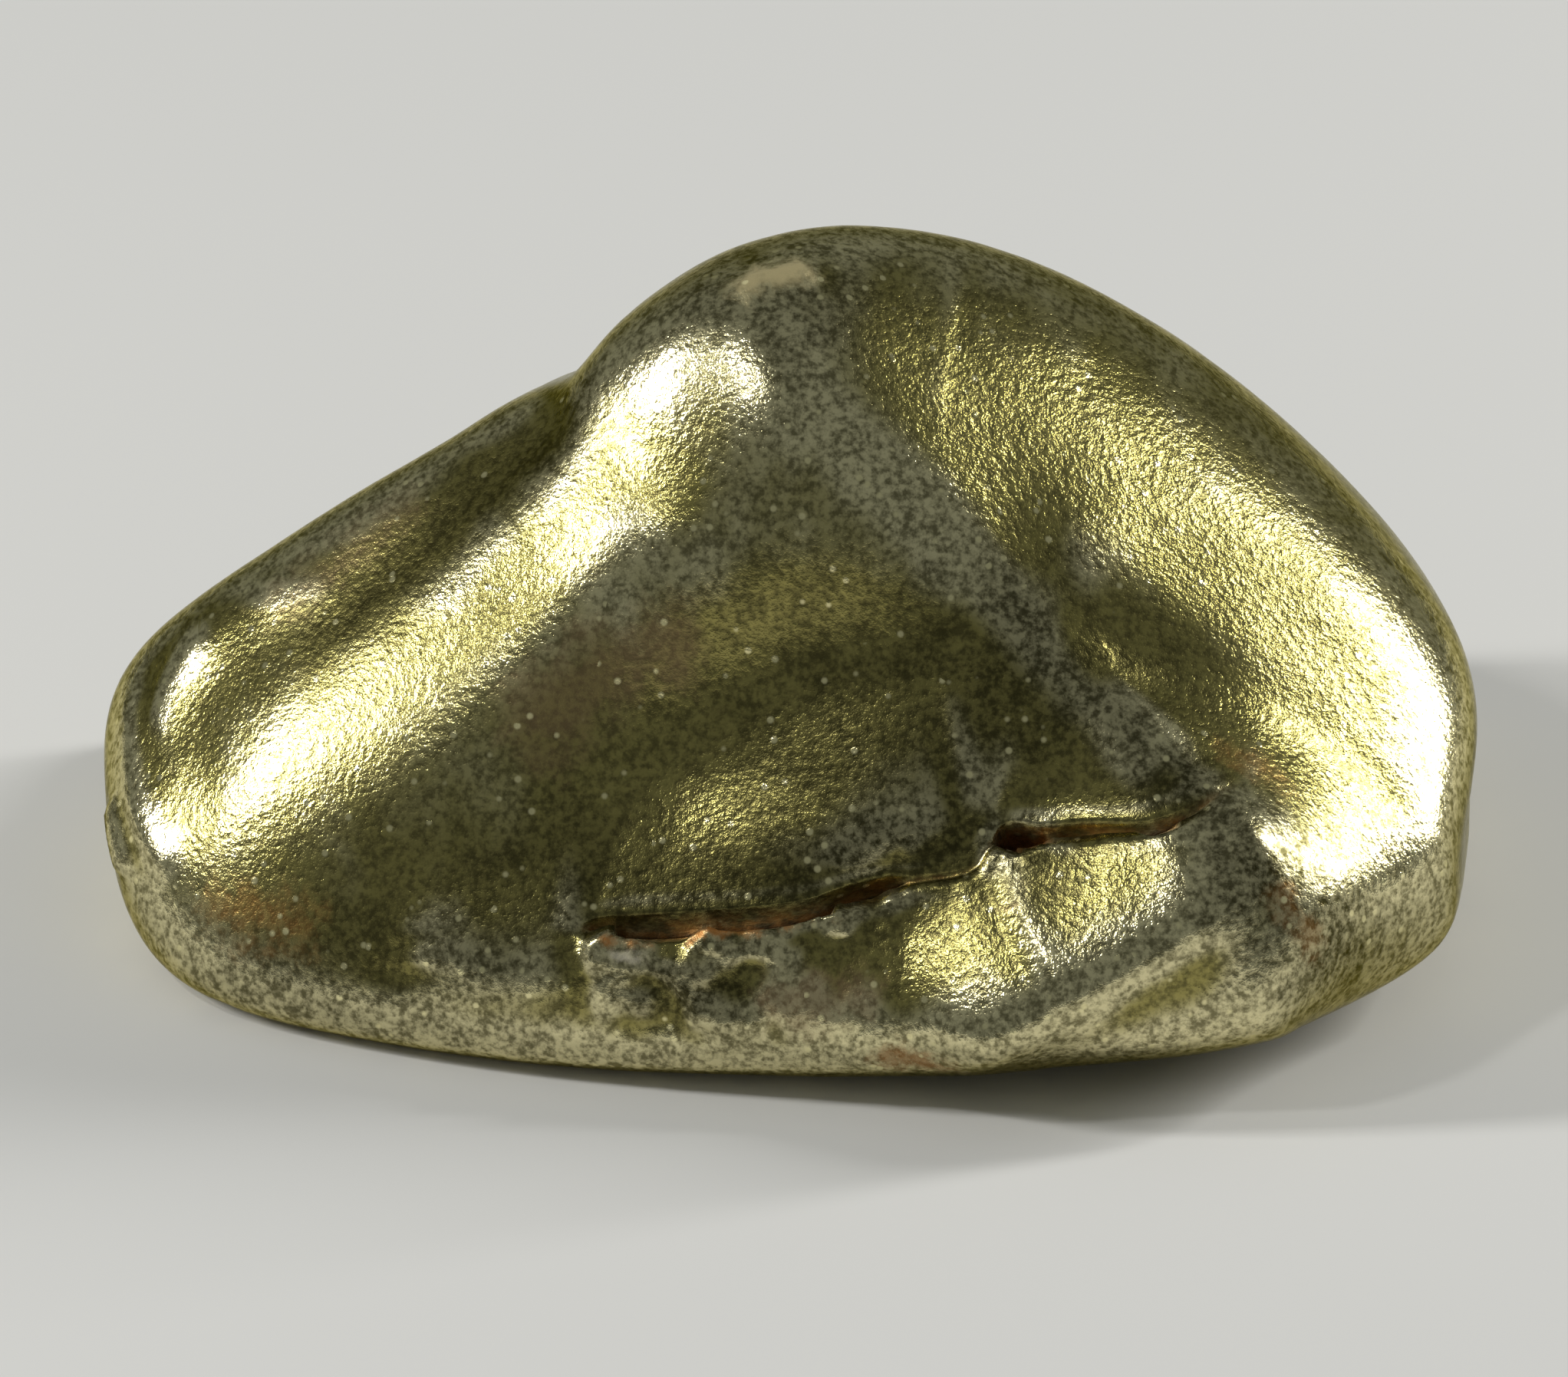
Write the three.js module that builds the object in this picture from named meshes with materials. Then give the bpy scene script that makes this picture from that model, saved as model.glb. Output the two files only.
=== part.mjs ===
// A small water-worn gold nugget: one lump of native metal, in millimetres.
//
// +X runs along the length to the right, -Y is the big worn front face, +Z is up.
// The origin lies on the face the nugget rests on, under the middle of its outline.
//
// The lump is two blunt bodies grown together, a steep hump and a low wing to its left. Each is
// the space inside a handful of worn faces, with every edge between two faces rubbed round.
// Ridges, dishes and grooves are then raised or sunk along smooth paths over that skin, the
// whole is tumbled smoother, and a narrow pocket is sunk along the fold under the front face.

import * as THREE from 'three';
import { mergeVertices } from 'three/addons/utils/BufferGeometryUtils.js';

// ---- driving dimensions -------------------------------------------------------------------

const HEART = new THREE.Vector3(0, 0, 1.38); // every face and path is measured from here
const FACE_EDGE = 10; // higher is a sharper edge between two worn faces
const BODY_JOIN = 14; // higher is a sharper valley between hump and wing

const STATIONS = 66; // net lines along the length, from the right end to the left end
const RINGS = 58; // net lines round the length
const RING_CROWDING = 0.34; // spacing of the rings at the fold, as a share of the mean spacing
const PATH_STEPS = 24; // samples taken along each path
const TUMBLING_ROUNDS = 3; // each round settles every knot of the net halfway to its neighbours

// A worn face: the bearing it looks towards (0 right, 90 back, 180 left, 270 front), how far it
// looks up from level, and its distance from the heart.
function wornFace(bearing, lift, reach) {
  const a = THREE.MathUtils.degToRad(bearing);
  const e = THREE.MathUtils.degToRad(lift);
  const normal = new THREE.Vector3(Math.cos(e) * Math.cos(a), Math.cos(e) * Math.sin(a), Math.sin(e));
  return { normal, reach };
}

const SHARED_FACES = {
  front: wornFace(258, 27, 1.25),
  frontLeft: wornFace(241, 17, 1.85),
  frontFoot: wornFace(284, -63, 2.02),
  lip: wornFace(272, -2, 3.2),
  back: wornFace(90, 8, 2.0),
  backFoot: wornFace(93, -40, 2.06),
  rightFoot: wornFace(344, -36, 3.01),
  underside: wornFace(0, -90, 1.35),
};

const HUMP_FACES = {
  crown: wornFace(271, 84, 1.95),
  leftFlank: wornFace(189, 41, 1.31),
  backSlope: wornFace(71, 40, 1.7),
  backLeftSlope: wornFace(113, 39, 1.38),
  upperRight: wornFace(326, 59, 1.66),
  farRight: wornFace(20, 38, 2.18),
  rightEnd: wornFace(3, -16, 3.12),
  frontRight: wornFace(302, 43, 1.54),
  cheek: wornFace(297, 15, 2.96),
  backRight: wornFace(48, 20, 3.13),
};

const WING_FACES = {
  shelf: wornFace(207, 50, 1.57),
  shelfBack: wornFace(121, 38, 1.26),
  leftEnd: wornFace(171, -18, 3.09),
  upperLeft: wornFace(178, 30, 3.28),
  leftFoot: wornFace(208, -49, 3.56),
  backLeft: wornFace(128, 7, 2.69),
  innerEnd: wornFace(7, 50, 1.11),
};

// The fold runs along the foot of the front face, from low on the left to halfway up the right.
const FOLD_PATH = [
  [-0.95, -1.7, 0.68],
  [-0.45, -1.76, 0.75],
  [0.45, -1.87, 0.89],
  [0.82, -1.88, 0.98],
  [1.3, -1.85, 1.18],
  [1.85, -1.75, 1.37],
];
const POCKET_DEPTH = 0.34;
const POCKET_HALF_WIDTH = 0.07;
const POCKET_FROM_X = -0.95;
const POCKET_TO_X = 1.85;
const POCKET_WAY = new THREE.Vector3(0, 0.62, -0.78); // in under the front face, and down

// Ridges (rise above 0), dishes and grooves (rise below 0): the path each follows over the skin,
// the distance over which it fades, and how far it lifts the surface.
const RELIEF = [
  { name: 'edge between wing and front', width: 0.38, rise: -0.11,
    path: [[-0.91, -0.62, 2.55], [-1.31, -0.82, 2.1], [-1.81, -0.89, 1.7], [-2.56, -0.72, 0.95]] },
  { name: 'right ridge', width: 0.31, rise: 0.06,
    path: [[1.69, -1.22, 2.2], [2.16, -1.25, 1.75], [2.46, -1.25, 1.35], [2.58, -1.18, 0.95]] },
  { name: 'dish in the front face', width: 0.55, rise: -0.2,
    path: [[-0.64, -1.36, 1.37], [0.26, -1.26, 1.72], [1.16, -1.31, 1.72]] },
  { name: 'hollow along the shelf', width: 0.4, rise: -0.16,
    path: [[-1.21, -0.21, 2.02], [-1.56, -0.31, 1.77], [-2.26, -0.31, 1.17]] },
  { name: 'valley below the hump', width: 0.26, rise: -0.09,
    path: [[-1.15, -0.16, 2.45], [-1.05, 0.34, 2.6], [-1.0, 0.74, 2.55]] },
  { name: 'hollow above the fold', width: 0.3, rise: -0.05,
    path: [[-1.0, -1.76, 1.05], [0.5, -1.89, 1.2], [1.3, -1.81, 1.45]] },
  { name: 'rolled lip', width: 0.24, rise: 0.09,
    path: [[-1.6, -1.75, 0.46], [-0.64, -2.0, 0.5], [0.3, -2.08, 0.5]] },
  { name: 'shoulder of the hump', width: 0.26, rise: -0.04,
    path: [[-0.33, -0.55, 2.88], [-0.58, -0.85, 2.53]] },
  { name: 'swell of the lip on the right', width: 0.22, rise: 0.26,
    path: [[0.73, -2.12, 0.46], [1.08, -2.12, 0.68], [1.45, -2.08, 0.9], [1.72, -1.99, 1.08],
      [1.92, -1.92, 1.22]] },
  { name: 'hollow behind the swell', width: 0.2, rise: -0.12,
    path: [[0.43, -2.05, 0.57], [0.93, -2.0, 0.93], [1.43, -1.93, 1.23]] },
  { name: 'dent in the back', width: 0.55, rise: -0.12,
    path: [[0.2, 1.9, 1.5], [0.9, 1.85, 1.3]] },
  { name: 'furrow down the back', width: 0.22, rise: -0.07,
    path: [[-1.5, 0.9, 1.9], [-1.2, 1.5, 1.2], [-1.3, 1.7, 0.6]] },
  { name: 'knock on the back right', width: 0.28, rise: -0.06,
    path: [[1.9, 1.0, 1.9], [2.2, 0.9, 1.5]] },
  { name: 'inner rib on the left end', width: 0.1, rise: 0.05,
    path: [[-2.81, -0.15, 1.04], [-2.78, -0.54, 0.81], [-2.69, -0.82, 0.65]] },
];

// ---- the skin -----------------------------------------------------------------------------

// Distance from the heart to the skin of one body, in a given direction.
function bodyReach(faces, direction) {
  let sum = 0;
  for (const { normal, reach } of faces) {
    const facing = Math.max(normal.dot(direction) / reach, 0);
    sum += facing ** FACE_EDGE;
  }
  return sum ** (-1 / FACE_EDGE);
}

const HUMP = Object.values({ ...SHARED_FACES, ...HUMP_FACES });
const WING = Object.values({ ...SHARED_FACES, ...WING_FACES });

// The lump is whichever body stands further out, with the join between them worn smooth.
function lumpPoint(direction) {
  const hump = bodyReach(HUMP, direction) ** BODY_JOIN;
  const wing = bodyReach(WING, direction) ** BODY_JOIN;
  return direction.clone().multiplyScalar((hump + wing) ** (1 / BODY_JOIN));
}

// Points along a smooth path, each pressed onto the skin of the lump.
function pathOnSkin(path) {
  const curve = new THREE.CatmullRomCurve3(path.map((p) => new THREE.Vector3(...p).sub(HEART)));
  return curve.getPoints(PATH_STEPS).map((p) => lumpPoint(p.normalize()));
}

// The straight stretches between those points.
function stretchesOnSkin(path) {
  const points = pathOnSkin(path);
  return points.slice(1).map((p, i) => new THREE.Line3(points[i], p));
}

const relief = RELIEF.map(({ path, width, rise }) => ({ track: stretchesOnSkin(path), width, rise }));

// How far the relief lifts the skin at a point.
function reliefRise(point) {
  const nearest = new THREE.Vector3();
  let total = 0;
  for (const { track, width, rise } of relief) {
    const gaps = track.map((stretch) => {
      return stretch.closestPointToPoint(point, true, nearest).distanceToSquared(point);
    });
    total += rise * Math.exp(-Math.min(...gaps) / width ** 2);
  }
  return total;
}

// ---- the net of stations and rings --------------------------------------------------------

// A direction from the heart: the station angle from the right end, and the ring angle from the
// front over the top.
function netDirection(station, ring) {
  const across = Math.sin(station);
  return new THREE.Vector3(Math.cos(station), -across * Math.cos(ring), across * Math.sin(ring));
}

// The ring angle of the fold at each station, so that one ring can run along it.
const foldMarks = pathOnSkin(FOLD_PATH)
  .map((p) => ({ station: Math.acos(p.x / p.length()), ring: Math.atan2(p.z, -p.y) }))
  .sort((a, b) => a.station - b.station);

function foldRing(station) {
  const last = foldMarks.length - 1;
  if (station <= foldMarks[0].station) return foldMarks[0].ring;
  if (station >= foldMarks[last].station) return foldMarks[last].ring;
  const next = foldMarks.findIndex((mark) => mark.station > station);
  const a = foldMarks[next - 1];
  const b = foldMarks[next];
  return THREE.MathUtils.mapLinear(station, a.station, b.station, a.ring, b.ring);
}

// Rings crowd together at the fold (turn 0) and spread out round the back (turn -1/2 and 1/2).
function ringOffset(turn) {
  return 2 * Math.PI * (RING_CROWDING * turn + (1 - RING_CROWDING) * 4 * turn ** 3);
}

// How far the pocket is open at x: shut at its two ends, deepest in the middle.
function pocketOpening(x) {
  const along = THREE.MathUtils.inverseLerp(POCKET_FROM_X, POCKET_TO_X, x);
  return along > 0 && along < 1 ? Math.sin(Math.PI * along) ** 0.5 : 0;
}

// The direction of one knot. Rings follow the fold near it and run straight round the back.
function knotDirection(i, j) {
  const station = (Math.PI * i) / STATIONS;
  const turn = 0.5 - j / RINGS;
  const following = (1 + Math.cos(2 * Math.PI * turn)) / 2;
  return netDirection(station, foldRing(station) * following + ringOffset(turn));
}

// How far the skin stands from the heart at every knot: the lump and its relief, then the
// rounding that tumbling in gravel gives to what is left of the edges.
function tumbledHeights() {
  let heights = Array.from({ length: STATIONS + 1 }, (_, i) => {
    return Array.from({ length: RINGS }, (__, j) => {
      const point = lumpPoint(knotDirection(i, j));
      return point.length() + reliefRise(point);
    });
  });
  for (let round = 0; round < TUMBLING_ROUNDS; round += 1) {
    heights = heights.map((row, i) => {
      if (i === 0 || i === STATIONS) return row; // a single knot at each end of the length
      const before = heights[i - 1];
      const after = heights[i + 1];
      return row.map((height, j) => {
        const beside = row[(j + 1) % RINGS] + row[(j + RINGS - 1) % RINGS];
        return height / 2 + (before[j] + after[j] + beside) / 8;
      });
    });
  }
  return heights;
}

const heights = tumbledHeights();

// One knot of the skin, sunk into the pocket where it lies on the fold.
function skinPoint(i, j) {
  const direction = knotDirection(i, j);
  const point = direction.clone().multiplyScalar(heights[i][j]);
  const fromFold = ringOffset(0.5 - j / RINGS) * heights[i][j];
  const sink = POCKET_DEPTH * pocketOpening(point.x) * Math.exp(-((fromFold / POCKET_HALF_WIDTH) ** 2));
  point.addScaledVector(POCKET_WAY, sink).add(HEART);
  point.z = Math.max(point.z, 0); // the belly is rubbed flat where the nugget rests
  return point;
}

// ---- the nugget ---------------------------------------------------------------------------

function nuggetGeometry() {
  const net = new THREE.SphereGeometry(1, RINGS, STATIONS);
  const position = net.getAttribute('position');
  const columns = RINGS + 1;
  for (let i = 0; i < position.count; i += 1) {
    const point = skinPoint(Math.floor(i / columns), (i % columns) % RINGS);
    position.setXYZ(i, point.x, point.y, point.z);
  }
  net.deleteAttribute('normal');
  net.deleteAttribute('uv');
  const skin = mergeVertices(net, 1e-4);
  skin.computeVertexNormals();
  skin.computeBoundingBox();
  const middle = skin.boundingBox.getCenter(new THREE.Vector3());
  return skin.translate(-middle.x, -middle.y, 0);
}

const nativeGold = new THREE.MeshStandardMaterial({ color: 0x9c8a45, roughness: 0.38, metalness: 1 });

const nugget = new THREE.Mesh(nuggetGeometry(), nativeGold);
nugget.name = 'nugget';

const part = new THREE.Group();
part.add(nugget);
export default part;
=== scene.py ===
import math

import bpy
import numpy as np
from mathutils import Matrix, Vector, noise


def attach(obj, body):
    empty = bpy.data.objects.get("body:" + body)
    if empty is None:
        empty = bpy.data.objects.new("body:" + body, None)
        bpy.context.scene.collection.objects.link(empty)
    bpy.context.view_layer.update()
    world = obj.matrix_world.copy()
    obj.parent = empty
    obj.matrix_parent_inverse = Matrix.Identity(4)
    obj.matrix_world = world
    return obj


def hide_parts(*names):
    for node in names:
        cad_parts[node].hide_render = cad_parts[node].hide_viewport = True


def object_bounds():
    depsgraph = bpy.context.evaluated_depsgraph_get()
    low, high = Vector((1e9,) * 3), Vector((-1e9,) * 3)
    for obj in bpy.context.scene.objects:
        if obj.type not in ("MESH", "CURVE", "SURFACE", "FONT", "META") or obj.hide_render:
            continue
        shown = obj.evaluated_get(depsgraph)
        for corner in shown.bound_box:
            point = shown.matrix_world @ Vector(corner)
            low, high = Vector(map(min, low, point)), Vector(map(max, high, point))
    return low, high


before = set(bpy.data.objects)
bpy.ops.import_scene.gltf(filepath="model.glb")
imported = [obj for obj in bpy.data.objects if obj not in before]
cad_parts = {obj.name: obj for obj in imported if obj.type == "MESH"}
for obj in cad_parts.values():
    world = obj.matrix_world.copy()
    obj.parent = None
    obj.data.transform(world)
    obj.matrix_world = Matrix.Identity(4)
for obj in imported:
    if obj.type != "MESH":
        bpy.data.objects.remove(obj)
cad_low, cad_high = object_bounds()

# ---- the lump of native gold ---------------------------------------------------------------
# The whole nugget is one lump of gold. Two blunt masses grew together, a steep hump and a low
# wing on its left, and river gravel rubbed flat faces onto them and rounded every edge. All
# lengths are millimetres from the heart of the lump, +X to the right and -Y towards the front.

MM = 0.001
HEART = np.array([0.0, 0.0, 1.38])
FACE_EDGE = 10
BODY_JOIN = 14


def worn_face(bearing, lift, reach):
    """A face looking towards a bearing (0 right, 90 back), lifted above level, at its reach."""
    a, e = math.radians(bearing), math.radians(lift)
    normal = [math.cos(e) * math.cos(a), math.cos(e) * math.sin(a), math.sin(e)]
    return np.array(normal), reach


shared_faces = {
    "front": worn_face(258, 27, 1.25),
    "front left": worn_face(241, 17, 1.85),
    "front foot": worn_face(284, -63, 2.02),
    "lip": worn_face(272, -2, 3.20),
    "back": worn_face(90, 8, 2.00),
    "back foot": worn_face(93, -40, 2.06),
    "right foot": worn_face(344, -36, 3.01),
    "underside": worn_face(0, -90, 1.35),
}
hump_faces = {
    "crown": worn_face(271, 84, 1.95),
    "left flank": worn_face(189, 41, 1.31),
    "back slope": worn_face(71, 40, 1.70),
    "back left slope": worn_face(113, 39, 1.38),
    "upper right": worn_face(326, 59, 1.66),
    "far right": worn_face(20, 38, 2.18),
    "right end": worn_face(3, -16, 3.12),
    "front right": worn_face(302, 43, 1.54),
    "cheek": worn_face(297, 15, 2.96),
    "back right": worn_face(48, 20, 3.13),
}
wing_faces = {
    "shelf": worn_face(207, 50, 1.57),
    "shelf back": worn_face(121, 38, 1.26),
    "left end": worn_face(171, -18, 3.09),
    "upper left": worn_face(178, 30, 3.28),
    "left foot": worn_face(208, -49, 3.56),
    "back left": worn_face(128, 7, 2.69),
    "inner end": worn_face(7, 50, 1.11),
}


def body_reach(faces, directions):
    """How far one body reaches from the heart in each direction."""
    total = np.zeros(len(directions))
    for normal, reach in faces.values():
        total += np.clip(directions @ normal / reach, 0.0, None) ** FACE_EDGE
    return total ** (-1.0 / FACE_EDGE)


def lump_points(directions):
    """The skin of hump and wing together, with the valley between them worn smooth."""
    hump = body_reach({**shared_faces, **hump_faces}, directions) ** BODY_JOIN
    wing = body_reach({**shared_faces, **wing_faces}, directions) ** BODY_JOIN
    return directions * ((hump + wing) ** (1.0 / BODY_JOIN))[:, None]


# Broad ridges, dishes, grooves and dents in the same metal, left by knocks and rubbing. Each one
# follows a smooth path over the lump, fades out over its width, and lifts or sinks the skin.

PATH_STEPS = 16


def smooth_path(points, steps=PATH_STEPS):
    """A smooth curve through a few points."""
    points = np.array(points, dtype=float)
    before = 2 * points[0] - points[1]
    after = 2 * points[-1] - points[-2]
    padded = np.vstack([before, points, after])
    curve = []
    for t in np.linspace(0, len(points) - 1, steps):
        i = min(int(t), len(points) - 2)
        f = t - i
        a, b, c, d = padded[i : i + 4]
        bend = 2 * a - 5 * b + 4 * c - d
        twist = 3 * b - a - 3 * c + d
        curve.append(0.5 * (2 * b + (c - a) * f + bend * f**2 + twist * f**3))
    return np.array(curve)


def path_on_lump(path):
    """A smooth path pressed onto the skin of the lump."""
    rays = smooth_path(path) - HEART
    return lump_points(rays / np.linalg.norm(rays, axis=1)[:, None])


def nearest_gap(points, track):
    """Distance from each point to the nearest stretch of a track."""
    gap = np.full(len(points), np.inf)
    for a, b in zip(track[:-1], track[1:]):
        stretch = b - a
        along = np.clip((points - a) @ stretch / (stretch @ stretch), 0, 1)
        gap = np.minimum(gap, ((points - a - along[:, None] * stretch) ** 2).sum(axis=1))
    return np.sqrt(gap)


# What each mark is: its width, how far it lifts the skin, and its path.
relief = {
    "edge between wing and front": (0.38, -0.11, [[-0.91, -0.62, 2.55], [-1.31, -0.82, 2.1],
                                                  [-1.81, -0.89, 1.7], [-2.56, -0.72, 0.95]]),
    "right ridge": (0.31, 0.06, [[1.69, -1.22, 2.2], [2.16, -1.25, 1.75], [2.46, -1.25, 1.35],
                                 [2.58, -1.18, 0.95]]),
    "dish in the front face": (0.55, -0.20, [[-0.64, -1.36, 1.37], [0.26, -1.26, 1.72],
                                             [1.16, -1.31, 1.72]]),
    "hollow along the shelf": (0.40, -0.16, [[-1.21, -0.21, 2.02], [-1.56, -0.31, 1.77],
                                             [-2.26, -0.31, 1.17]]),
    "valley below the hump": (0.26, -0.09, [[-1.15, -0.16, 2.45], [-1.05, 0.34, 2.6],
                                            [-1.0, 0.74, 2.55]]),
    "hollow above the fold": (0.30, -0.05, [[-1.0, -1.76, 1.05], [0.5, -1.89, 1.2],
                                            [1.3, -1.81, 1.45]]),
    "rolled lip": (0.24, 0.09, [[-1.6, -1.75, 0.46], [-0.64, -2.0, 0.50], [0.3, -2.08, 0.50]]),
    "shoulder of the hump": (0.26, -0.04, [[-0.33, -0.55, 2.88], [-0.58, -0.85, 2.53]]),
    "swell of the lip on the right": (0.22, 0.25, [[0.76, -2.12, 0.52], [1.08, -2.12, 0.69],
                                                   [1.45, -2.08, 0.90], [1.72, -1.99, 1.08],
                                                   [1.92, -1.92, 1.22]]),
    "hollow behind the swell": (0.26, -0.15, [[0.40, -2.03, 0.72], [0.85, -2.0, 0.98],
                                              [1.35, -1.93, 1.26]]),
    "dent in the back": (0.55, -0.12, [[0.2, 1.9, 1.5], [0.9, 1.85, 1.3]]),
    "furrow down the back": (0.22, -0.07, [[-1.5, 0.9, 1.9], [-1.2, 1.5, 1.2], [-1.3, 1.7, 0.6]]),
    "knock on the back right": (0.28, -0.06, [[1.9, 1.0, 1.9], [2.2, 0.9, 1.5]]),
}


def relief_rise(points):
    """How far the relief lifts the skin at each point."""
    rise = np.zeros(len(points))
    for width, lift, path in relief.values():
        rise += lift * np.exp(-((nearest_gap(points, path_on_lump(path)) / width) ** 2))
    return rise


# The skin is a net of rings strung along the length, from the right end to the left end. The
# rings crowd together along the line of the fold, where the metal turns in sharply.

STATIONS = 296
RINGS = 330
CROWDING = 0.8
CROWD_WIDTH = 0.08
FOLD_PATH = [[-0.95, -1.70, 0.68], [-0.45, -1.76, 0.75], [0.45, -1.87, 0.89], [0.82, -1.88, 0.98],
             [0.93, -1.84, 1.09], [1.3, -1.85, 1.18], [1.85, -1.75, 1.37]]
FOLD_STEPS = 60

fold_track = smooth_path(FOLD_PATH, FOLD_STEPS) - HEART
fold_station = np.arccos(fold_track[:, 0] / np.linalg.norm(fold_track, axis=1))
fold_ring = np.arctan2(fold_track[:, 2], -fold_track[:, 1])
order = np.argsort(fold_station)


def ring_offset(turn):
    """Angle of a ring from the fold, for its place from -0.5 to 0.5 round the lump."""
    squeeze = CROWDING * CROWD_WIDTH
    scale = 0.5 / (0.5 - squeeze * np.tanh(0.5 / CROWD_WIDTH))
    return 2 * np.pi * scale * (turn - squeeze * np.tanh(turn / CROWD_WIDTH))


station = np.pi * np.arange(1, STATIONS) / STATIONS
turn = np.arange(RINGS) / RINGS - 0.5
station_grid, turn_grid = np.meshgrid(station, turn, indexing="ij")
offset = ring_offset(turn_grid.ravel())
following = 0.5 + 0.5 * np.cos(2 * np.pi * turn_grid.ravel())
ring = np.interp(station_grid.ravel(), fold_station[order], fold_ring[order]) * following + offset
across = np.sin(station_grid.ravel())
directions = np.stack([np.cos(station_grid.ravel()), -across * np.cos(ring),
                       across * np.sin(ring)], axis=1)

# Long tumbling rounds off what is left of the edges: each knot of the net settles towards the
# mean height of its four neighbours, the nearer ones counting for more.

RUBBING_ROUNDS = 24
RUBBING_SHARE = 0.6
points = lump_points(directions)
height = np.linalg.norm(points, axis=1) + relief_rise(points)
net = (directions * height[:, None]).reshape(STATIONS - 1, RINGS, 3)
height = height.reshape(STATIONS - 1, RINGS)


def neighbours(grid):
    """The values at the two neighbours along the length and the two round it."""
    ahead = np.concatenate([grid[1:], grid[-1:]])
    behind = np.concatenate([grid[:1], grid[:-1]])
    return ahead, behind, np.roll(grid, 1, axis=1), np.roll(grid, -1, axis=1)


weights = []
for side in neighbours(net):
    weights.append(1 / np.sqrt(((side - net) ** 2).sum(axis=2) + 1e-6))


def settled_height():
    """The weighted mean height of the neighbours of every knot."""
    return sum(w * side for w, side in zip(weights, neighbours(height))) / sum(weights)


for _ in range(RUBBING_ROUNDS):
    height = (1 - RUBBING_SHARE) * height + RUBBING_SHARE * settled_height()

# Right of the fold the heel took the hardest rubbing, and there the two masses run into each
# other without a crease.

HEEL_ROUNDS = 500
HEEL_SHARE = 0.8
HEEL_WIDTH = 0.46
heel_path = np.array([[2.05, -1.60, 1.42], [2.25, -1.80, 1.15], [2.50, -1.90, 0.88],
                      [2.70, -1.80, 0.62]]) - HEART
on_heel = np.exp(-((nearest_gap(net.reshape(-1, 3), heel_path) / HEEL_WIDTH) ** 4))
on_heel = HEEL_SHARE * on_heel.reshape(height.shape)
for _ in range(HEEL_ROUNDS):
    height += on_heel * (settled_height() - height)

points = directions * height.reshape(-1, 1)

# ---- the fold and its lip ------------------------------------------------------------------
# Under the front face the metal was once hammered over on itself. Its torn edge stands up like
# the top of a pocket, and behind it a narrow slot runs in and down. The slot is shut for a short
# length, gapes most just right of that, and dies out as a crease at both ends. Each pair below is
# a place along the length and the value there.

SLOT_GAP = [(-0.92, 0.0), (-0.8, 0.016), (-0.6, 0.014), (-0.3, 0.012), (0.1, 0.012), (0.3, 0.016),
            (0.45, 0.008), (0.86, 0.008), (0.94, 0.06), (1.04, 0.03), (1.12, 0.012), (1.6, 0.012),
            (1.85, 0.008), (2.0, 0.0)]
SLOT_DEPTH = [(-0.95, 0.0), (-0.8, 0.22), (0.35, 0.20), (0.5, 0.05), (0.86, 0.05), (0.95, 0.24),
              (1.1, 0.16), (1.6, 0.12), (1.95, 0.0)]
SLOT_WAY = np.array([0.0, 0.62, -0.78])
LIP_UP = np.array([0.0, -0.28, 0.96])
CREASE = 0.008
BROW_SINK = 0.05
BROW_WIDTH = 0.12
EDGE_SWELL = [(0.3, 0.05), (0.7, 0.012)]
EDGE_WIDTH = 0.09
LIP_LUMPS = [(0.2, 0.05), (0.6, 0.008)]
LIP_LUMP_SIZE = 1 / 4.2
LIP_MIDDLE = 0.2
LIP_WIDTH = 0.26
TORN_RISE = [(0.35, 0.05), (0.6, 0.015), (1.0, 0.04), (1.15, 0.008)]
TORN_LENGTH = 1 / 4.5
FULL_FOLD_DEPTH = 0.12

along_x = points[:, 0]
from_fold = offset * np.hypot(points[:, 1], points[:, 2])
gap = np.interp(along_x, *zip(*SLOT_GAP))
depth = np.interp(along_x, *zip(*SLOT_DEPTH))
reach = np.maximum(gap / 2, CREASE)
folded = np.clip(depth / FULL_FOLD_DEPTH, 0, 1)
inside = np.clip(1 - (from_fold / reach) ** 4, 0, 1) * folded
above = np.clip(from_fold - reach, 0, None)
below = np.clip(-from_fold - reach, 0, None)
torn = np.array([noise.fractal(Vector((x / TORN_LENGTH, 3, 0)), 0.9, 2.1, 4) for x in along_x])
torn *= np.interp(along_x, *zip(*TORN_RISE))
lip_edge = folded * (from_fold < 0) * np.exp(-((below / EDGE_WIDTH) ** 2)) * (1 - inside)
on_lip = folded * (from_fold < 0) * np.exp(-(((below - LIP_MIDDLE) / LIP_WIDTH) ** 2))
brow = folded * (from_fold >= -reach) * np.exp(-((above / BROW_WIDTH) ** 2))

lumpy = np.array([noise.fractal(Vector(p / LIP_LUMP_SIZE), 1.0, 2.0, 3) for p in points])
lumpy *= np.interp(along_x, *zip(*LIP_LUMPS))
swell = np.interp(along_x, *zip(*EDGE_SWELL))
rise = swell * lip_edge - BROW_SINK * brow + lumpy * on_lip
pocket = inside * depth
points = points + directions * rise[:, None] + LIP_UP * (torn * lip_edge)[:, None]
points = points + SLOT_WAY * pocket[:, None]

# ---- knocks, pits and scratches ------------------------------------------------------------
# The rubbed skin still rolls gently, and it is dotted with small dents from sand and gravel and
# a few short scratches. The left end carries two thin upright ribs beside a groove.

ROLL_SIZE = 1 / 1.3
ROLL_RISE = 0.008
ROLL_PLACE = np.array([7.0, 0, 0])
DIMPLE_SIZE = 1 / 5.5
DIMPLE_RISE = 0.001
rolls = np.array([noise.fractal(Vector(p / ROLL_SIZE + ROLL_PLACE), 1.0, 2.0, 2) for p in points])
dimples = np.array([noise.fractal(Vector(p / DIMPLE_SIZE), 0.8, 2.1, 3) for p in points])
wear = ROLL_RISE * rolls + DIMPLE_RISE * dimples
rng = np.random.default_rng(11)

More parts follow.
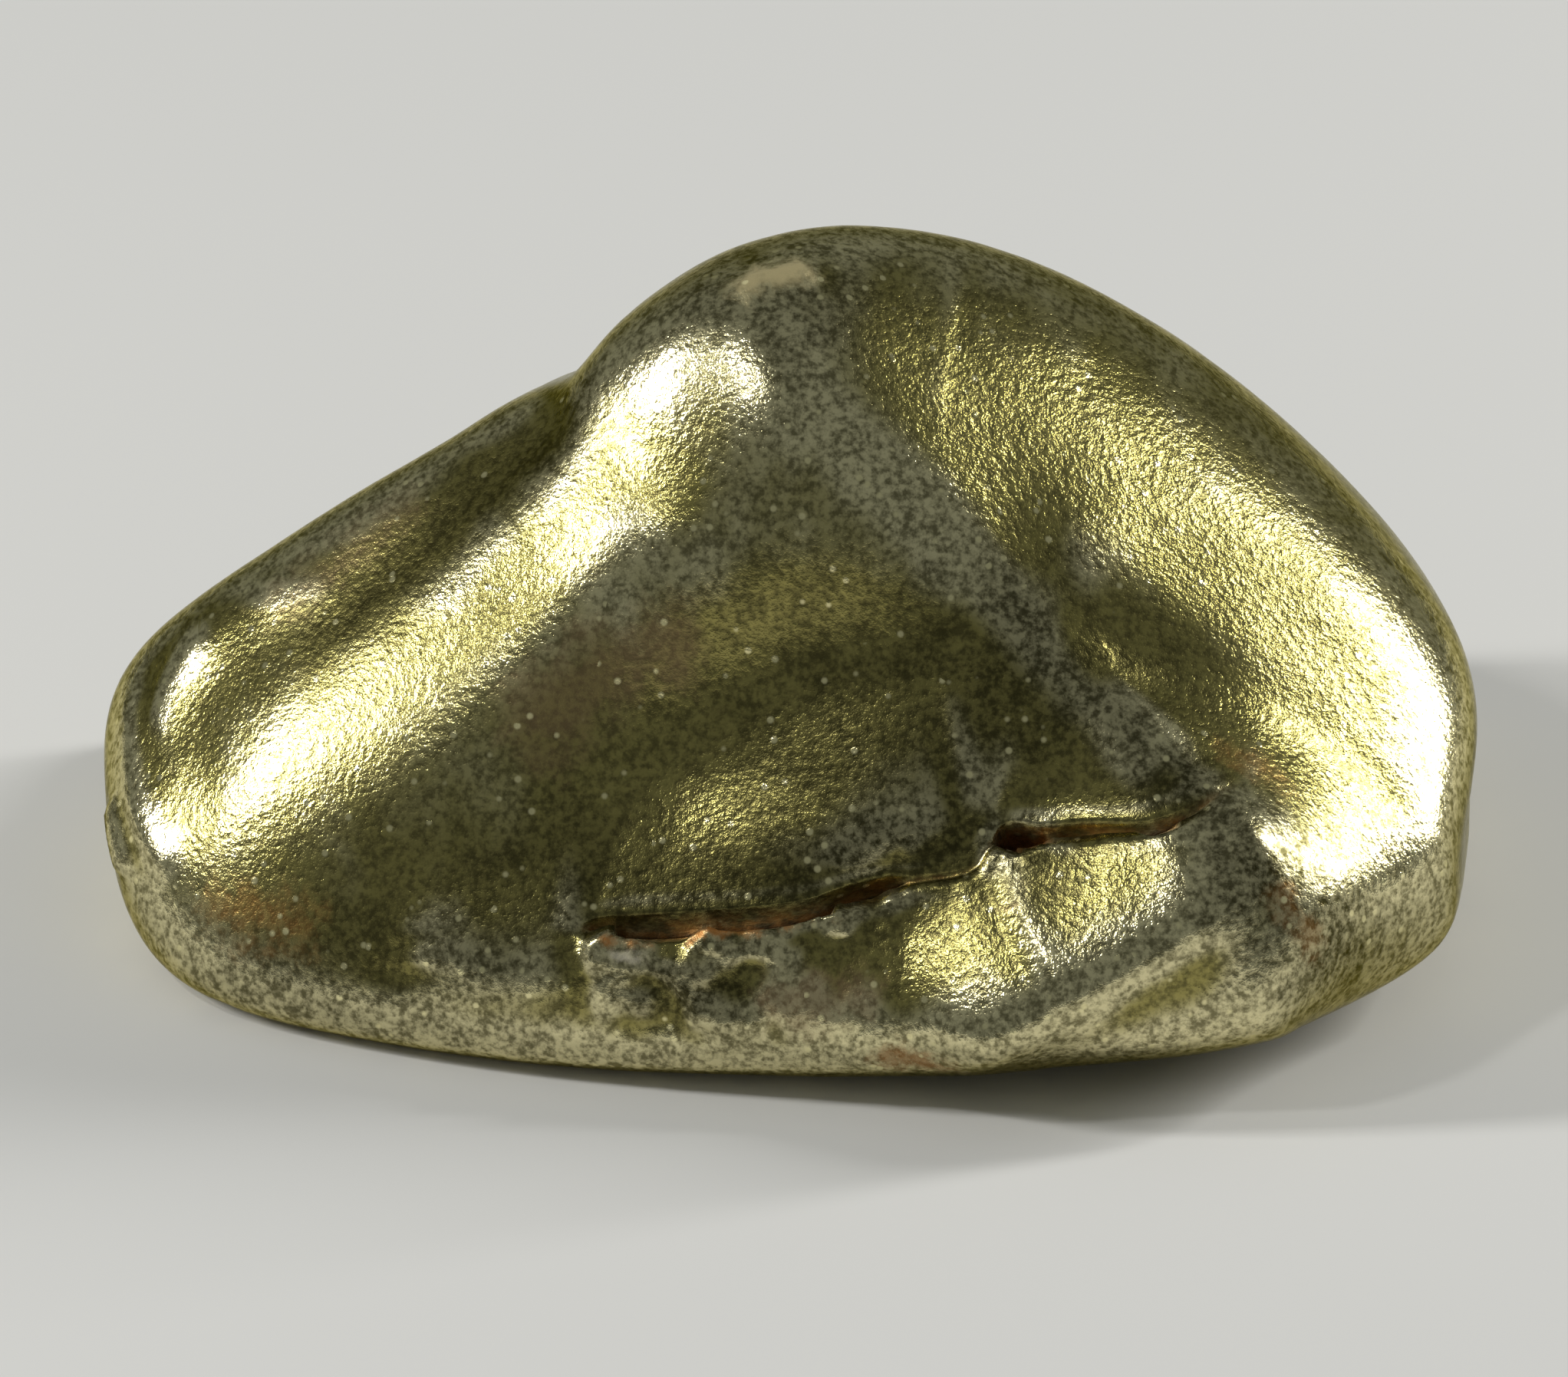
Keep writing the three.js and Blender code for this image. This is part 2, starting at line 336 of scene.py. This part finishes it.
DENTS = 110
DENT_SIZE = (0.02, 0.09)
DENT_DEPTH = (0.006, 0.02)
for _ in range(DENTS):
    ray = rng.normal(size=3)
    ray /= np.linalg.norm(ray)
    size = rng.uniform(*DENT_SIZE)
    deep = size * rng.uniform(*DENT_DEPTH)
    centre = lump_points(ray[None, :])[0]
    near = ((points - centre) ** 2).sum(axis=1)
    wear -= deep * np.exp(-near / size**2)

SCRATCHES = 12
SCRATCH_LENGTH = (0.2, 0.5)
SCRATCH_WIDTH = 0.02
SCRATCH_DEPTH = 0.0004
for _ in range(SCRATCHES):
    ray = rng.normal(size=3)
    ray /= np.linalg.norm(ray)
    start = lump_points(ray[None, :])[0]
    lean = np.cross(ray, rng.normal(size=3))
    lean *= rng.uniform(*SCRATCH_LENGTH) / np.linalg.norm(lean)
    from_scratch = nearest_gap(points, np.array([start, start + lean]))
    wear -= SCRATCH_DEPTH * np.exp(-((from_scratch / SCRATCH_WIDTH) ** 2))

# What each mark is: its width, how far it lifts the skin, and its path.
small_marks = {
    "outer rib": (0.06, 0.05, [[-2.95, -0.42, 0.63], [-2.90, -0.62, 0.51]]),
    "inner rib": (0.08, 0.04, [[-2.81, -0.15, 1.04], [-2.78, -0.54, 0.81], [-2.69, -0.82, 0.65]]),
    "groove beside the ribs": (0.09, -0.02, [[-2.68, -0.1, 1.15], [-2.66, -0.5, 0.92]]),
    "knob": (0.11, 0.05, [[-2.50, -0.18, 1.33], [-2.61, -0.30, 1.14]]),
    "blob on the shelf": (0.12, 0.03, [[-2.15, -0.2, 1.6], [-2.0, -0.3, 1.68]]),
    "scar in the left foot": (0.05, -0.02, [[-1.75, -1.5, 0.42], [-1.45, -1.6, 0.45]]),
    "second scar": (0.04, -0.018, [[-1.7, -1.48, 0.52], [-1.5, -1.58, 0.58]]),
    "flake": (0.075, 0.032, [[-0.20, -0.22, 3.06], [0.01, -0.15, 3.09]]),
}
for width, lift, path in small_marks.values():
    wear += lift * np.exp(-((nearest_gap(points, path_on_lump(path)) / width) ** 2))

points = points + directions * (wear * (1 - inside))[:, None] + HEART

# The belly is where the lump comes to rest: gravel has ground it level, and only small pits are
# left in it. The lump is then set over the middle of its outline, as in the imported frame.

BELLY_ROUND = 0.03
PIT_DEPTH = 0.03
PIT_SHARE = 0.25
BELLY_EDGE = 0.06
near_belly = np.exp(-((points[:, 2] / BELLY_EDGE) ** 2))
belly_pits = PIT_DEPTH * np.clip(dimples - PIT_SHARE, 0, None) * near_belly
points[:, 2] = 0.5 * (points[:, 2] + np.sqrt(points[:, 2] ** 2 + BELLY_ROUND**2)) + belly_pits
points[:, 2] -= points[:, 2].min()
middle = (points.min(axis=0) + points.max(axis=0)) / 2
points[:, :2] -= middle[:2]

# How rubbed each spot is comes from the shape: gravel polishes what stands out and leaves the
# hollows alone.

SPREAD = 5
net = points.reshape(STATIONS - 1, RINGS, 3)
ahead = np.concatenate([net[SPREAD:], np.repeat(net[-1:], SPREAD, axis=0)])
behind = np.concatenate([np.repeat(net[:1], SPREAD, axis=0), net[:-SPREAD]])
left, right = np.roll(net, SPREAD, axis=1), np.roll(net, -SPREAD, axis=1)
sideways = np.cross(ahead - behind, left - right)
sideways /= np.linalg.norm(sideways, axis=2)[..., None] + 1e-9
sideways *= np.sign((sideways * directions.reshape(net.shape)).sum(axis=2))[..., None]
stand_out = np.zeros(net.shape[:2])
for one, other in ((ahead, behind), (left, right)):
    span = ((one - other) ** 2).sum(axis=2) / 4 + 1e-4
    stand_out += ((net - (one + other) / 2) * sideways).sum(axis=2) / span
rubbed = np.clip((stand_out - 0.1) / 1.6, 0, 1)
for _ in range(6):
    rubbed = 0.5 * rubbed + 0.125 * sum(neighbours(rubbed))

faces = []
rows = STATIONS - 1
for i in range(rows - 1):
    for j in range(RINGS):
        k = (j + 1) % RINGS
        faces.append((i * RINGS + j, i * RINGS + k, (i + 1) * RINGS + k, (i + 1) * RINGS + j))
first, last = rows * RINGS, rows * RINGS + 1
for j in range(RINGS):
    k = (j + 1) % RINGS
    faces.append((first, k, j))
    faces.append((last, (rows - 1) * RINGS + j, (rows - 1) * RINGS + k))
ends = [net[0].mean(axis=0), net[-1].mean(axis=0)]
points = np.vstack([points, ends])

mesh = bpy.data.meshes.new("nugget_skin")
mesh.from_pydata((points * MM).tolist(), [], faces)
mesh.update()
mesh.shade_smooth()


def spot_values(name, values):
    """Stores one number for every point of the skin, for the material to read."""
    layer = mesh.attributes.new(name, "FLOAT", "POINT")
    layer.data.foreach_set("value", np.append(values.ravel(), [values.mean()] * len(ends)))


DIRTY_DEPTH = 0.08
spot_values("rubbed", rubbed)
spot_values("in_slot", np.clip(pocket / DIRTY_DEPTH, 0, 1))
nugget = bpy.data.objects.new("nugget_skin", mesh)
bpy.context.collection.objects.link(nugget)
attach(nugget, "root")
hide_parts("nugget")

# ---- the metal's surface -------------------------------------------------------------------
# Native gold with some silver in it: a greenish yellow metal, bright where it is rubbed and dull
# olive under a thin film elsewhere, with a fine frosted grain, specks that glint, and brown and
# orange iron stains. A nearly black film, partly real and partly painted shade, darkens patches of
# the front, the top, the shelf, the heel and the back, and the slot is rusty inside.

CLEAN_GOLD = (0.76, 0.69, 0.40, 1)
FILMED_GOLD = (0.33, 0.29, 0.095, 1)
DARK_FILM_AND_PAINTED_SHADE = (0.038, 0.034, 0.012, 1)
RUST = (0.30, 0.12, 0.025, 1)
BROWN_CRUST = (0.20, 0.13, 0.07, 1)
PALE_CRUST = (0.52, 0.48, 0.38, 1)
GRAIN = 0.035


def new_group(name, inputs, outputs):
    """An empty shader node group with named number, vector and colour sockets."""
    group = bpy.data.node_groups.new(name, "ShaderNodeTree")
    for label, kind, value in inputs:
        socket = group.interface.new_socket(label, in_out="INPUT", socket_type="NodeSocket" + kind)
        socket.default_value = value
    for label, kind in outputs:
        group.interface.new_socket(label, in_out="OUTPUT", socket_type="NodeSocket" + kind)
    return group, group.nodes.new("NodeGroupInput").outputs, group.nodes.new("NodeGroupOutput").inputs


def feed(tree, value, socket):
    """Links a node's output to a socket, or sets the socket to a plain value."""
    if isinstance(value, bpy.types.NodeSocket):
        tree.links.new(value, socket)
    else:
        socket.default_value = value


def math_node(tree, kind, first, second=0.0, third=0.0, clamp=False):
    node = tree.nodes.new("ShaderNodeMath")
    node.operation = kind
    node.use_clamp = clamp
    for socket, value in zip(node.inputs, (first, second, third)):
        feed(tree, value, socket)
    return node.outputs[0]


def vector_node(tree, kind, first, second=(0, 0, 0)):
    node = tree.nodes.new("ShaderNodeVectorMath")
    node.operation = kind
    feed(tree, first, node.inputs[0])
    feed(tree, second, node.inputs["Scale"] if kind == "SCALE" else node.inputs[1])
    return node.outputs["Value"] if kind in ("DOT_PRODUCT", "LENGTH") else node.outputs["Vector"]


def noise_node(tree, place, scale, detail=2.0, rough=0.5, twist=0.0):
    node = tree.nodes.new("ShaderNodeTexNoise")
    feed(tree, place, node.inputs["Vector"])
    feed(tree, scale, node.inputs["Scale"])
    node.inputs["Detail"].default_value = detail
    node.inputs["Roughness"].default_value = rough
    node.inputs["Distortion"].default_value = twist
    return node.outputs["Fac"]


def ramp(tree, value, low, high):
    """0 at low, 1 at high, eased between them; low may be the greater."""
    node = tree.nodes.new("ShaderNodeMapRange")
    node.interpolation_type = "SMOOTHSTEP"
    feed(tree, value, node.inputs["Value"])
    feed(tree, low, node.inputs["From Min"])
    feed(tree, high, node.inputs["From Max"])
    return node.outputs["Result"]


def blend(tree, share, below, above):
    """The colour above laid over the colour below by its share."""
    node = tree.nodes.new("ShaderNodeMix")
    node.data_type = "RGBA"
    feed(tree, share, node.inputs["Factor"])
    feed(tree, below, node.inputs[6])
    feed(tree, above, node.inputs[7])
    return node.outputs[2]


# Frosted grain: small crystals and hammered specks, some of which stand proud and glint. The
# speck mask is also used to brighten the specks' colour as painted glints.
grain_group, grain_in, grain_out = new_group(
    "frosted grain",
    [("Place", "Vector", (0, 0, 0)), ("Size", "Float", GRAIN), ("Fleck Share", "Float", 0.12)],
    [("Height", "Float"), ("Flecks And Painted Glints", "Float"), ("Mottle", "Float")])
pitch = math_node(grain_group, "DIVIDE", 1.0, grain_in["Size"])
fine = noise_node(grain_group, grain_in["Place"], pitch, 3.0, 0.65)
coarse_pitch = math_node(grain_group, "MULTIPLY", pitch, 0.3)
coarse = noise_node(grain_group, grain_in["Place"], coarse_pitch, 2.0, 0.5, 0.4)
cells = grain_group.nodes.new("ShaderNodeTexVoronoi")
feed(grain_group, grain_in["Place"], cells.inputs["Vector"])
feed(grain_group, math_node(grain_group, "MULTIPLY", pitch, 0.62), cells.inputs["Scale"])
draw = vector_node(grain_group, "DOT_PRODUCT", cells.outputs["Color"], (3.1, 5.3, 7.7))
chosen = math_node(grain_group, "LESS_THAN", math_node(grain_group, "FRACT", draw),
                   grain_in["Fleck Share"])
dome = ramp(grain_group, cells.outputs["Distance"], 0.36, 0.16)
flecks_and_painted_glints = math_node(grain_group, "MULTIPLY", dome, chosen)
feed(grain_group, flecks_and_painted_glints, grain_out["Flecks And Painted Glints"])
feed(grain_group, math_node(grain_group, "MULTIPLY_ADD", flecks_and_painted_glints, 0.08, fine), grain_out["Height"])
half_fine = math_node(grain_group, "MULTIPLY", fine, 0.75)
feed(grain_group, math_node(grain_group, "MULTIPLY_ADD", coarse, 0.25, half_fine), grain_out["Mottle"])

# A patch lying along a short stretch of the skin, with a ragged edge. It draws the real films and
# stains, and also the patches of painted shade.
stain_and_shade_group, patch_in, patch_out = new_group(
    "stain_and_shade_patch",
    [("Place", "Vector", (0, 0, 0)), ("Start", "Vector", (0, 0, 0)), ("End", "Vector", (0, 0, 0)),
     ("Reach", "Float", 0.3), ("Raggedness", "Float", 1.0), ("Patchy", "Float", 0.5)],
    [("Mask", "Float")])
stretch = vector_node(stain_and_shade_group, "SUBTRACT", patch_in["End"], patch_in["Start"])
from_start = vector_node(stain_and_shade_group, "SUBTRACT", patch_in["Place"], patch_in["Start"])
length_squared = math_node(stain_and_shade_group, "ADD",
                           vector_node(stain_and_shade_group, "DOT_PRODUCT", stretch, stretch), 1e-6)
share = math_node(stain_and_shade_group, "DIVIDE",
                  vector_node(stain_and_shade_group, "DOT_PRODUCT", from_start, stretch), length_squared,
                  clamp=True)
foot = vector_node(stain_and_shade_group, "SCALE", stretch, share)
away = vector_node(stain_and_shade_group, "LENGTH", vector_node(stain_and_shade_group, "SUBTRACT", from_start, foot))
ragged = math_node(stain_and_shade_group, "MULTIPLY",
                   math_node(stain_and_shade_group, "SUBTRACT", patch_in["Patchy"], 0.5),
                   patch_in["Raggedness"])
spread = math_node(stain_and_shade_group, "MULTIPLY_ADD", ragged, 2.4,
                   math_node(stain_and_shade_group, "DIVIDE", away, patch_in["Reach"]))
feed(stain_and_shade_group, ramp(stain_and_shade_group, spread, 1.3, 0.1), patch_out["Mask"])

gold = bpy.data.materials.new("native gold")
gold.use_nodes = True
tree = gold.node_tree
shader = tree.nodes["Principled BSDF"]
coords = tree.nodes.new("ShaderNodeTexCoord")
place = vector_node(tree, "SCALE", coords.outputs["Object"], 1 / MM)


def spot_value(name):
    """Reads back a number stored on the points of the skin."""
    node = tree.nodes.new("ShaderNodeAttribute")
    node.attribute_name = name
    return node.outputs["Fac"]


broad_patches = noise_node(tree, place, 3.6, 4.0, 0.62, 0.3)
small_patches = noise_node(tree, place, 9.0, 4.0, 0.65, 0.3)


def stain_and_shade_patch(start, end, reach, raggedness=1.0, breakup=6.0, strength=1.0):
    """The mask of one stain, or of one patch of painted shade, on this nugget, in the lump's own
    millimetres.
    """
    node = tree.nodes.new("ShaderNodeGroup")
    node.node_tree = stain_and_shade_group
    tree.links.new(place, node.inputs["Place"])
    shift = np.append(middle[:2], 0)
    node.inputs["Start"].default_value = np.array(start) - shift
    node.inputs["End"].default_value = np.array(end) - shift
    node.inputs["Reach"].default_value = reach
    node.inputs["Raggedness"].default_value = raggedness
    patches = small_patches if breakup > 5.5 else broad_patches
    tree.links.new(patches, node.inputs["Patchy"])
    return math_node(tree, "MULTIPLY", node.outputs["Mask"], strength)


def cover(masks):
    """One mask out of several, the strongest showing."""
    total = masks[0]
    for mask in masks[1:]:
        total = math_node(tree, "MAXIMUM", total, mask)
    return total


grain = tree.nodes.new("ShaderNodeGroup")
grain.node_tree = grain_group
tree.links.new(place, grain.inputs["Place"])

polish = spot_value("rubbed")
slot_dirt = spot_value("in_slot")
cloudy = noise_node(tree, place, 1.6, 5.0, 0.62, 0.6)
clean = ramp(tree, math_node(tree, "MULTIPLY_ADD", cloudy, 0.55, polish), 0.30, 0.85)

# Dark film and painted shade: nearly black patches, some of them real film, most of them painted shade
# standing in for dark reflections above the fold, on the front dish, lip, left foot, top and heel.
dark_film_and_painted_shade = cover([
    stain_and_shade_patch((-0.95, -1.68, 0.84), (0.9, -1.82, 1.16), 0.34, 0.6, 5.0, 1.0),
    stain_and_shade_patch((1.0, -1.85, 1.28), (1.9, -1.65, 1.52), 0.22, 0.8, 5.0, 0.9),
    stain_and_shade_patch((-1.0, -0.3, 2.4), (-2.0, -0.45, 1.5), 0.30, 1.0, 4.0, 0.85),
    stain_and_shade_patch((1.15, -1.27, 1.76), (0.1, -1.35, 1.3), 0.55, 1.3, 3.0, 0.75),
    stain_and_shade_patch((-0.6, -1.88, 0.50), (-0.30, -1.9, 0.54), 0.20, 0.8, 7.0, 0.9),
    stain_and_shade_patch((-2.3, -1.2, 0.45), (-1.3, -1.7, 0.50), 0.34, 1.2, 4.0, 0.6),
    stain_and_shade_patch((2.1, -1.95, 1.10), (2.5, -2.0, 0.75), 0.42, 1.0, 7.0, 0.95),
    stain_and_shade_patch((-0.1, -1.6, 0.95), (0.3, -1.65, 1.05), 0.30, 0.8, 4.0, 0.9),
    stain_and_shade_patch((-0.3, -0.2, 3.0), (0.6, -0.3, 2.95), 0.40, 1.2, 4.0, 0.45),
    stain_and_shade_patch((-0.7, -1.5, 0.95), (-1.3, -1.45, 0.85), 0.35, 1.2, 4.0, 0.55),
    stain_and_shade_patch((1.6, 1.4, 1.6), (0.2, 1.8, 0.8), 0.6, 1.3, 3.0, 0.7),
    stain_and_shade_patch((-1.4, 1.2, 1.4), (-1.3, 1.6, 0.6), 0.35, 1.2, 4.0, 0.8),
])
brown_film = cover([
    stain_and_shade_patch((-1.07, -1.12, 1.49), (-0.6, -1.07, 1.75), 0.26, 1.3, 4.0, 0.55),
    stain_and_shade_patch((-0.05, -1.96, 0.50), (0.25, -2.01, 0.56), 0.14, 1.0, 6.0, 0.6),
    stain_and_shade_patch((0.6, -1.95, 0.92), (0.9, -1.95, 0.98), 0.08, 0.8, 8.0, 0.75),
    stain_and_shade_patch((-1.7, -0.15, 1.95), (-2.2, -0.2, 1.5), 0.16, 1.0, 6.0, 0.35),
    stain_and_shade_patch((0.4, 1.5, 2.0), (1.0, 1.4, 1.9), 0.3, 1.3, 4.0, 0.5),
])
rust = cover([
    stain_and_shade_patch((-2.45, -1.1, 0.50), (-2.15, -1.3, 0.55), 0.16, 1.4, 6.0, 0.3),
    stain_and_shade_patch((1.9, -1.45, 1.45), (2.1, -1.5, 1.35), 0.10, 1.2, 8.0, 0.35),
    stain_and_shade_patch((2.1, -2.0, 1.0), (2.2, -1.95, 0.8), 0.10, 1.4, 8.0, 0.3),
    stain_and_shade_patch((0.4, -2.05, 0.30), (0.7, -2.1, 0.32), 0.08, 1.2, 9.0, 0.7),
    stain_and_shade_patch((-0.8, -1.78, 0.70), (0.35, -1.88, 0.88), 0.045, 1.6, 9.0, 0.9),
    stain_and_shade_patch((-2.0, 1.2, 0.5), (-1.6, 1.5, 0.4), 0.2, 1.4, 6.0, 0.6),
])
pale_crust = cover([
    stain_and_shade_patch((-0.84, -1.77, 0.62), (-0.66, -1.82, 0.63), 0.035, 1.2, 10.0, 0.7),
    stain_and_shade_patch((-0.1, -1.93, 0.74), (0.2, -1.96, 0.78), 0.04, 1.4, 12.0, 0.5),
])
flake = stain_and_shade_patch((-0.17, -0.20, 3.06), (-0.02, -0.16, 3.09), 0.12, 0.9, 8.0)

mottled = ramp(tree, grain.outputs["Mottle"], 0.36, 0.62)
metal = blend(tree, clean, FILMED_GOLD, CLEAN_GOLD)
metal = blend(tree, math_node(tree, "MULTIPLY_ADD", mottled, -0.82, 0.82),
              metal, (0.09, 0.08, 0.03, 1))
# The painted shade and dark film is broken up by the grain mottle before it darkens the metal.
blotchy_film_and_painted_shade = math_node(tree, "MULTIPLY", dark_film_and_painted_shade,
                    math_node(tree, "MULTIPLY_ADD", mottled, -0.45, 1.0))
metal = blend(tree, blotchy_film_and_painted_shade, metal, DARK_FILM_AND_PAINTED_SHADE)
metal = blend(tree, brown_film, metal, BROWN_CRUST)
metal = blend(tree, rust, metal, RUST)
metal = blend(tree, flake, metal, (0.50, 0.42, 0.22, 1))
# Painted glint: the specks are coloured pale bright gold so that they sparkle even where no lamp
# glints in them; their raised domes in the bump catch real glints as well.
metal = blend(tree, math_node(tree, "MULTIPLY", grain.outputs["Flecks And Painted Glints"], 0.8), metal,
              (0.90, 0.82, 0.45, 1))
metal = blend(tree, pale_crust, metal, PALE_CRUST)
slot_noise = noise_node(tree, place, 9.0, 3.0, 0.6)
slot_colour = blend(tree, ramp(tree, slot_noise, 0.35, 0.65), (0.05, 0.022, 0.008, 1), RUST)
colour = blend(tree, slot_dirt, metal, slot_colour)
tree.links.new(colour, shader.inputs["Base Color"])
shader.inputs["Specular Tint"].default_value = (0.60, 0.56, 0.34, 1)

dirt = cover([math_node(tree, "MULTIPLY", slot_dirt, 0.8), math_node(tree, "MULTIPLY", rust, 0.6),
              math_node(tree, "MULTIPLY", brown_film, 0.5), math_node(tree, "MULTIPLY", pale_crust, 0.8), math_node(tree, "MULTIPLY", flake, 0.6)])
tree.links.new(math_node(tree, "SUBTRACT", 1.0, dirt), shader.inputs["Metallic"])
rough = math_node(tree, "MULTIPLY_ADD", clean, -0.03, 0.215)
rough = math_node(tree, "MULTIPLY_ADD", mottled, -0.06, rough)
rough = math_node(tree, "MULTIPLY_ADD", dark_film_and_painted_shade, 0.12, rough)
rough = math_node(tree, "MULTIPLY_ADD", dirt, 0.3, rough)
rough = math_node(tree, "MULTIPLY_ADD", grain.outputs["Flecks And Painted Glints"], -0.1, rough)
tree.links.new(rough, shader.inputs["Roughness"])

pitting = noise_node(tree, place, 11.0, 3.0, 0.6)
relief_height = math_node(tree, "MULTIPLY_ADD", pitting, 0.35, grain.outputs["Height"])
bump = tree.nodes.new("ShaderNodeBump")
bump.inputs["Strength"].default_value = 1.0
bump.inputs["Distance"].default_value = 0.0040 * MM
tree.links.new(relief_height, bump.inputs["Height"])
tree.links.new(bump.outputs["Normal"], shader.inputs["Normal"])
mesh.materials.append(gold)

# ---- floor, lights and camera --------------------------------------------------------------
# The nugget lies on a sheet of pale paper between two soft lamps, one low at each side, with a
# small third lamp high on the left, in a dim room. It is seen from the front and a little above.

FLOOR_REACH = 0.6
PAPER_COLOUR = (0.74, 0.73, 0.70, 1)
PAPER_ROUGHNESS = 0.9
floor_mesh = bpy.data.meshes.new("floor")
corners = [(-1, -1), (1, -1), (1, 1), (-1, 1)]
sheet = [(x * FLOOR_REACH, y * FLOOR_REACH, 0) for x, y in corners]
floor_mesh.from_pydata(sheet, [], [(0, 1, 2, 3)])
floor = bpy.data.objects.new("floor", floor_mesh)
bpy.context.collection.objects.link(floor)
paper = bpy.data.materials.new("pale paper")
paper.use_nodes = True
paper_shader = paper.node_tree.nodes["Principled BSDF"]
paper_shader.inputs["Base Color"].default_value = PAPER_COLOUR
paper_shader.inputs["Roughness"].default_value = PAPER_ROUGHNESS
floor_mesh.materials.append(paper)

ROOM_COLOUR = (0.95, 1.0, 0.98, 1)
ROOM_STRENGTH = 0.215
world = bpy.data.worlds.new("studio")
world.use_nodes = True
room = world.node_tree.nodes["Background"]
room.inputs["Color"].default_value = ROOM_COLOUR
room.inputs["Strength"].default_value = ROOM_STRENGTH
bpy.context.scene.world = world
bpy.context.scene.view_settings.view_transform = "Standard"

LAMP_DISTANCE = 0.05
centre = Vector(((cad_low + cad_high) / 2)[:])


def soft_lamp(name, direction, width, height, power):
    """A soft rectangular lamp that faces the nugget from a direction."""
    data = bpy.data.lights.new(name, "AREA")
    data.shape = "RECTANGLE"
    data.size = width
    data.size_y = height
    data.energy = power
    lamp = bpy.data.objects.new(name, data)
    away = Vector(direction).normalized() * LAMP_DISTANCE
    lamp.location = centre + away
    lamp.rotation_mode = "QUATERNION"
    lamp.rotation_quaternion = away.to_track_quat("Z", "Y")
    bpy.context.collection.objects.link(lamp)


soft_lamp("left lamp", (-0.87, -0.07, 0.48), 0.005, 0.014, 0.0130)
soft_lamp("high left lamp", (-0.57, -0.29, 0.76), 0.004, 0.004, 0.0031)
soft_lamp("right lamp", (0.85, 0.26, 0.42), 0.005, 0.030, 0.0175)

VIEW_LIFT = math.radians(27)
VIEW_WIDTH = 6.826 * MM
CAMERA_DISTANCE = 0.12
AIM_RIGHT = -0.048
AIM_UP = 0.894
camera_data = bpy.data.cameras.new("camera")
camera_data.sensor_width = 36
camera_data.lens = camera_data.sensor_width * CAMERA_DISTANCE / VIEW_WIDTH
camera_data.clip_start = 0.01
camera_data.clip_end = 2.0
camera = bpy.data.objects.new("camera", camera_data)
back = Vector((0, -math.cos(VIEW_LIFT), math.sin(VIEW_LIFT)))
up = Vector((0, math.sin(VIEW_LIFT), math.cos(VIEW_LIFT)))
aim = Vector((AIM_RIGHT - middle[0], -middle[1], 0)) * MM + up * AIM_UP * MM
camera.location = aim + back * CAMERA_DISTANCE
camera.rotation_mode = "QUATERNION"
camera.rotation_quaternion = back.to_track_quat("Z", "Y")
bpy.context.collection.objects.link(camera)
bpy.context.scene.camera = camera
